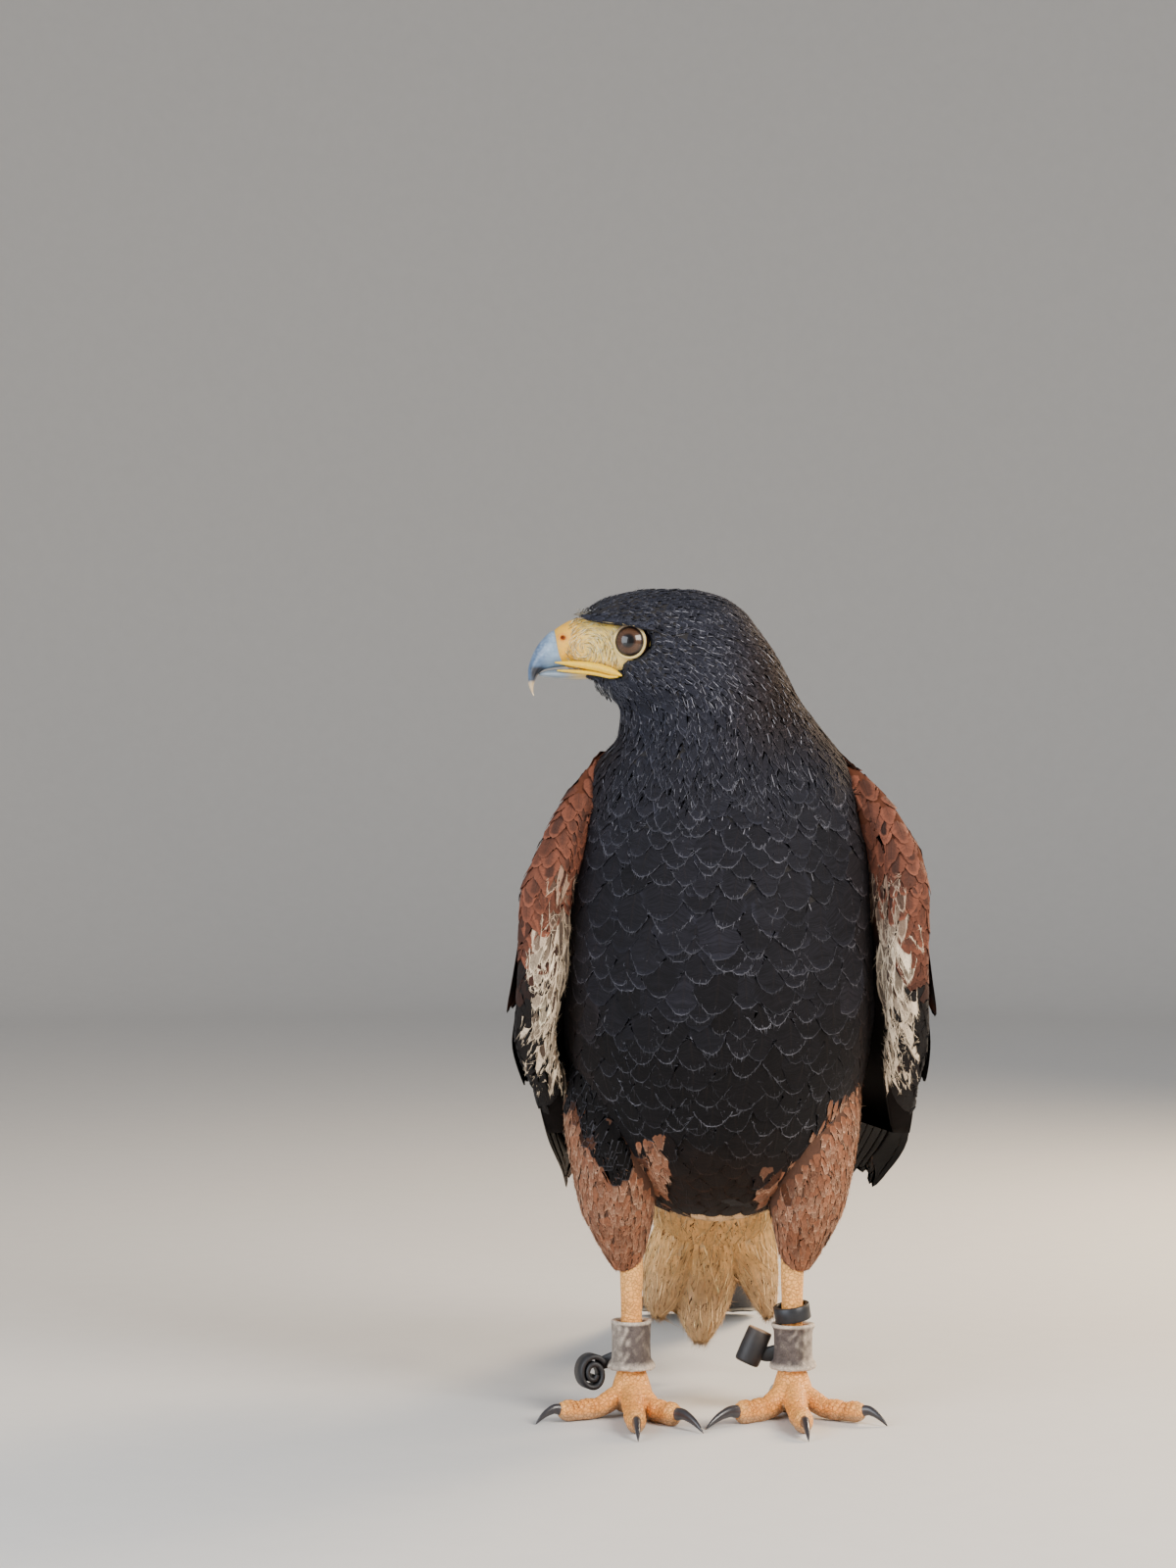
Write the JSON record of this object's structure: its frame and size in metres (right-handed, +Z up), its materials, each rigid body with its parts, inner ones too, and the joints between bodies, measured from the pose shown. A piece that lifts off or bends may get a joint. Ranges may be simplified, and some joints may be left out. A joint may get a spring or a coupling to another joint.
{
  "type": "harris hawk",
  "caption": "Life-size standing bird of prey with its head turned to the side, wings folded, tail on the ground and leather leg cuffs.",
  "frame": {"origin": "on the ground, under the middle of the model's bounding box", "axes": "+Z up; the hawk's chest faces -Y and its tail +Y; its left side is +X and its bill points to -X"},
  "size_m": [0.1994, 0.3568, 0.3796],
  "materials": {
    "dark_plumage": "blackish brown body feathers with pale edges",
    "wing_plumage": "chestnut coverts over dark brown flight feathers",
    "tail_plumage": "blackish tail feathers, white at the root and tip",
    "pale_plumage": "soft cream feathers under the tail",
    "thigh_plumage": "rufous leg feathers with dark mottling",
    "yellow_skin": "smooth bare yellow skin",
    "bill_horn": "blue-grey horn, darker at the tip",
    "eye": "wet dark brown eye",
    "leg_skin": "scaly yellow-orange skin",
    "claw_horn": "black horn",
    "cuff_leather": "worn grey-brown leather with pale edges",
    "strap_leather": "black rolled leather",
    "ring_metal": "plain dark anodised band"
  },
  "bodies": {
    "root": {"head": "dark_plumage", "neck": "dark_plumage", "torso": "dark_plumage", "cere": "yellow_skin", "bill_upper": "bill_horn", "bill_lower": "bill_horn", "eye_left": "eye", "eye_right": "eye", "wing_left": "wing_plumage", "wing_right": "wing_plumage", "tail": "tail_plumage", "undertail": "pale_plumage", "thigh_left": "thigh_plumage", "thigh_right": "thigh_plumage", "shank_left": "leg_skin", "shank_right": "leg_skin", "foot_left": "leg_skin", "foot_right": "leg_skin", "claw_inner_left": "claw_horn", "claw_middle_left": "claw_horn", "claw_outer_left": "claw_horn", "claw_hind_left": "claw_horn", "claw_inner_right": "claw_horn", "claw_middle_right": "claw_horn", "claw_outer_right": "claw_horn", "claw_hind_right": "claw_horn", "cuff_left": "cuff_leather", "cuff_right": "cuff_leather", "strap_end_left": "strap_leather", "strap_end_right": "strap_leather", "leg_ring": "ring_metal"}
  },
  "joints": []
}
